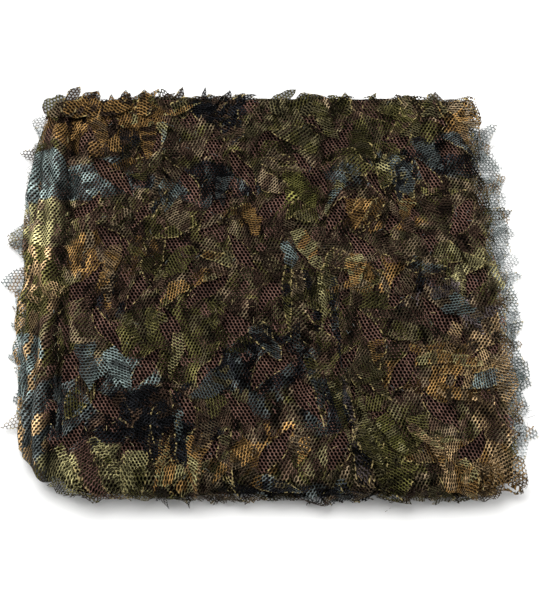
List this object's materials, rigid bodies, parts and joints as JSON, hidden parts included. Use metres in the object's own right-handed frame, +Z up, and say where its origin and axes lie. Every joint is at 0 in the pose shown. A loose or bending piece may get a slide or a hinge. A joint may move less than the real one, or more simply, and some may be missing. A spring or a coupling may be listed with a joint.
{
  "type": "folded camouflage net",
  "caption": "Leaf-cut mesh camouflage net folded back and forth into a flat, soft-edged rectangular packet.",
  "frame": {"origin": "on the ground, under the middle of the bounding box", "axes": "+X along the packet's long side towards its open edge, +Y to its back, +Z up"},
  "size_m": [0.3595, 0.302, 0.034],
  "materials": {
    "leaf_cut_mesh": "fine knitted polyester mesh printed in olive, brown, ochre and blue-grey leaves, matt, with see-through holes"
  },
  "bodies": {
    "root": {"net": "leaf_cut_mesh"}
  },
  "joints": []
}
